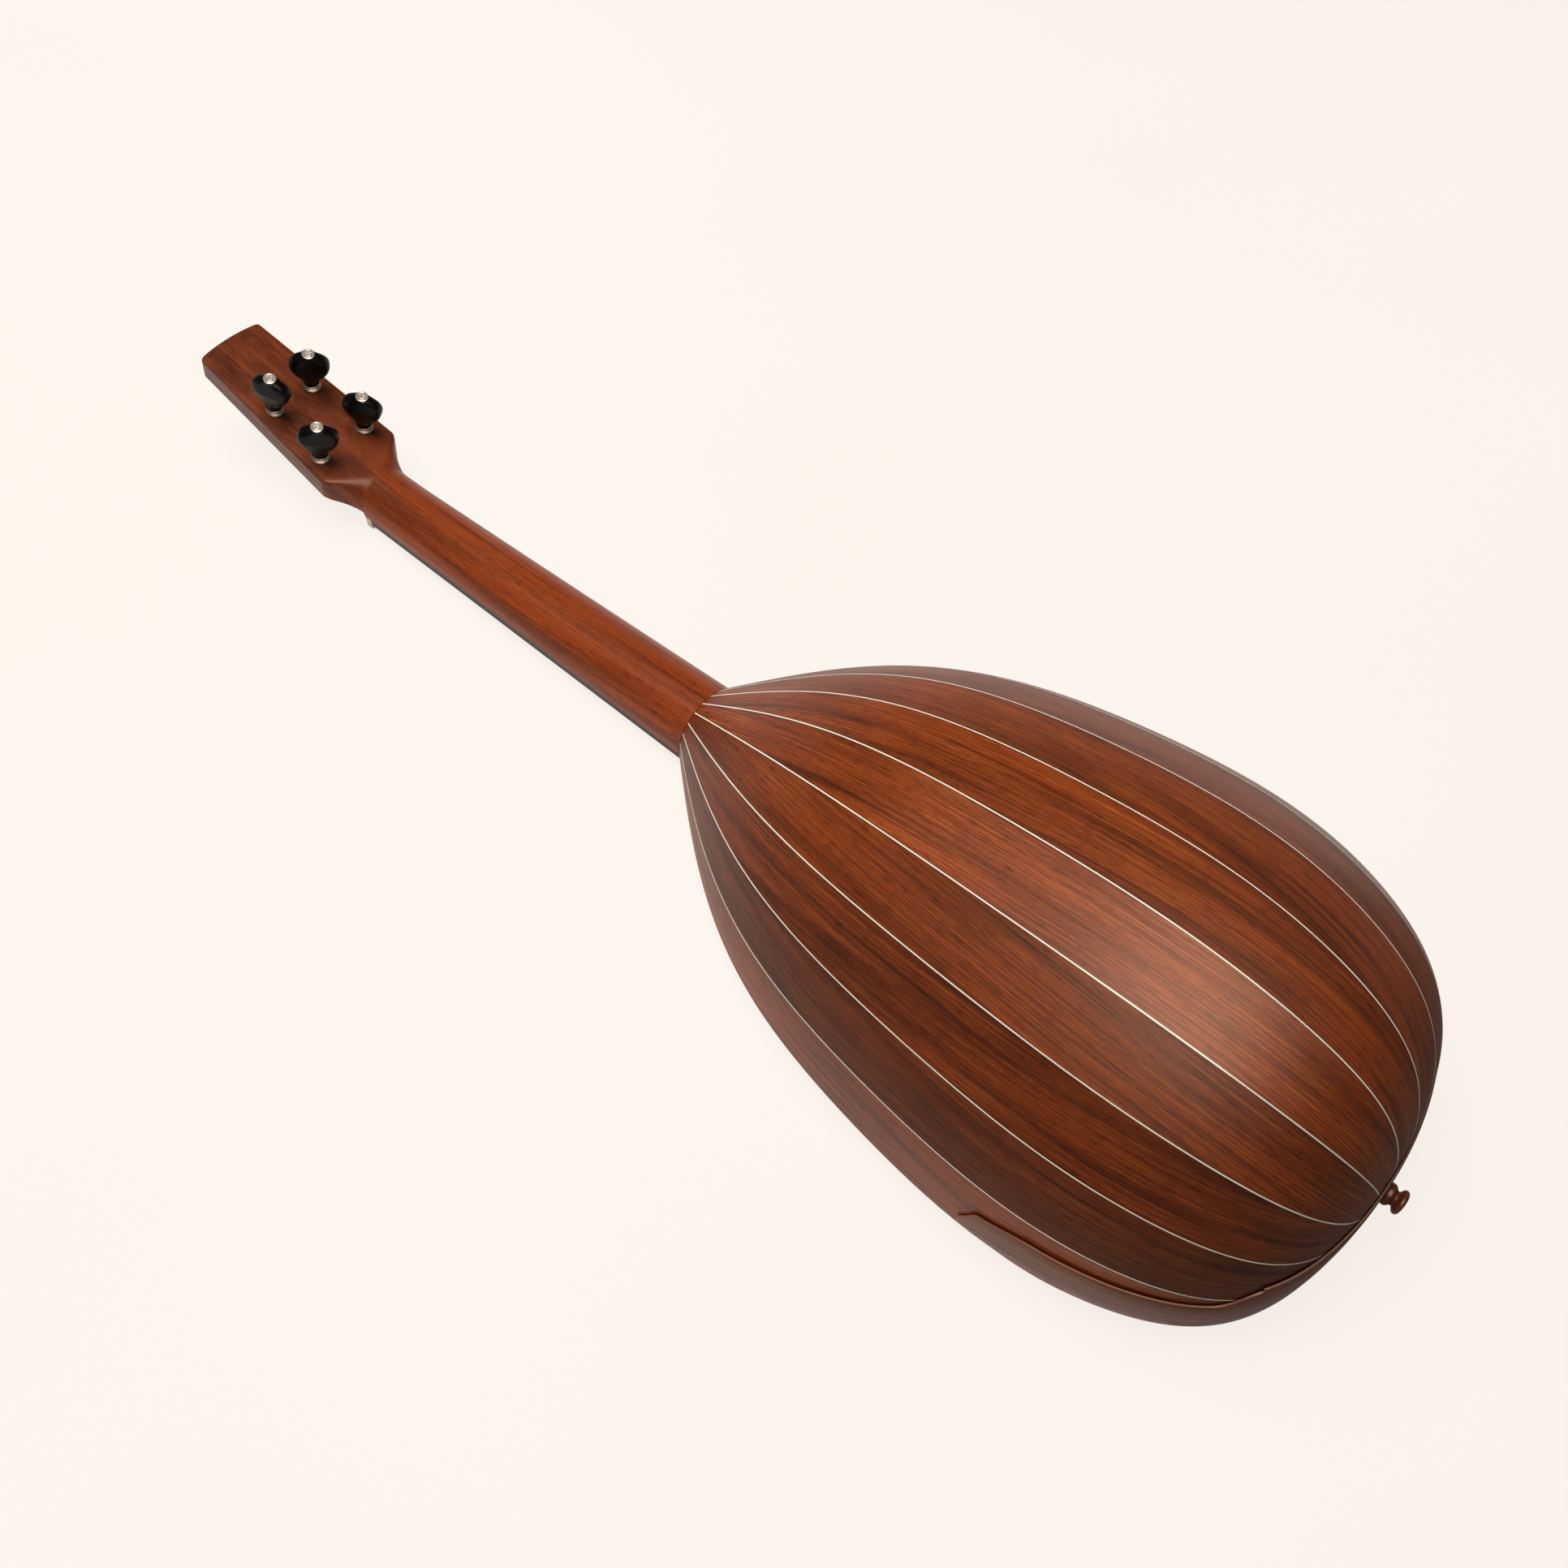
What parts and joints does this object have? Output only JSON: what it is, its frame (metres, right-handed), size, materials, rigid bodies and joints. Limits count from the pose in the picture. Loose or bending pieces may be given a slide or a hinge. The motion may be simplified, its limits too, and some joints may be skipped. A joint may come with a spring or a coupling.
{
  "type": "lute-backed string instrument",
  "caption": "Short-necked plucked instrument with a ribbed lute-style bowl, flat soundboard, tilted headstock and friction pegs that turn to tune its strings",
  "frame": {"origin": "middle of the bounding box at its bottom, where the saddle of the instrument lying face down meets the floor", "axes": "+X runs from the headstock to the tail, +Z from the strings to the back of the bowl, +Y across"},
  "size_m": [0.7388, 0.244, 0.1331],
  "materials": {
    "rosewood_rib": "satin",
    "maple_line": "satin",
    "mahogany_neck": "satin",
    "mahogany_headstock": "satin",
    "walnut_clasp": "satin",
    "spruce_board": "satin",
    "spruce_brace": "satin",
    "mahogany_block": "satin",
    "ebony_board": "satin",
    "rosewood_veneer": "satin",
    "bone_slip": "satin",
    "rosewood_bridge": "satin",
    "nylon_string": "satin",
    "black_button": "satin",
    "nickel_collar": "polished",
    "nickel_screw": "polished",
    "rosewood_button": "satin"
  },
  "bodies": {
    "instrument": {"brace_lower": "spruce_brace", "brace_upper": "spruce_brace", "bridge": "rosewood_bridge", "end_button": "rosewood_button", "end_clasp": "walnut_clasp", "fingerboard": "ebony_board", "headstock": "mahogany_headstock", "headstock_veneer": "rosewood_veneer", "neck": "mahogany_neck", "neck_block": "mahogany_block", "nut": "bone_slip", "peg_1_bushing": "nickel_collar", "peg_1_collar": "nickel_collar", "peg_2_bushing": "nickel_collar", "peg_2_collar": "nickel_collar", "peg_3_bushing": "nickel_collar", "peg_3_collar": "nickel_collar", "peg_4_bushing": "nickel_collar", "peg_4_collar": "nickel_collar", "rib_1": "rosewood_rib", "rib_10": "rosewood_rib", "rib_11": "rosewood_rib", "rib_2": "rosewood_rib", "rib_3": "rosewood_rib", "rib_4": "rosewood_rib", "rib_5": "rosewood_rib", "rib_6": "rosewood_rib", "rib_7": "rosewood_rib", "rib_8": "rosewood_rib", "rib_9": "rosewood_rib", "rib_line_1": "maple_line", "rib_line_10": "maple_line", "rib_line_2": "maple_line", "rib_line_3": "maple_line", "rib_line_4": "maple_line", "rib_line_5": "maple_line", "rib_line_6": "maple_line", "rib_line_7": "maple_line", "rib_line_8": "maple_line", "rib_line_9": "maple_line", "saddle": "bone_slip", "soundboard": "spruce_board", "string_1": "nylon_string", "string_2": "nylon_string", "string_3": "nylon_string", "string_4": "nylon_string", "tail_block": "mahogany_block"},
    "peg_1": {"peg_1_button": "black_button", "peg_1_post": "nickel_collar", "peg_1_screw": "nickel_screw"},
    "peg_2": {"peg_2_button": "black_button", "peg_2_post": "nickel_collar", "peg_2_screw": "nickel_screw"},
    "peg_3": {"peg_3_button": "black_button", "peg_3_post": "nickel_collar", "peg_3_screw": "nickel_screw"},
    "peg_4": {"peg_4_button": "black_button", "peg_4_post": "nickel_collar", "peg_4_screw": "nickel_screw"}
  },
  "joints": [
    {"name": "peg_1_turn", "type": "hinge", "parent": "instrument", "child": "peg_1", "pos_m": [-0.31812, 0.0131, 0.0315], "axis": [0.2419, 0, 0.9703], "continuous": true},
    {"name": "peg_2_turn", "type": "hinge", "parent": "instrument", "child": "peg_2", "pos_m": [-0.31812, -0.0131, 0.0315], "axis": [0.2419, 0, 0.9703], "continuous": true},
    {"name": "peg_3_turn", "type": "hinge", "parent": "instrument", "child": "peg_3", "pos_m": [-0.28076, 0.0156, 0.02218], "axis": [0.2419, 0, 0.9703], "continuous": true},
    {"name": "peg_4_turn", "type": "hinge", "parent": "instrument", "child": "peg_4", "pos_m": [-0.28076, -0.0156, 0.02218], "axis": [0.2419, 0, 0.9703], "continuous": true}
  ]
}
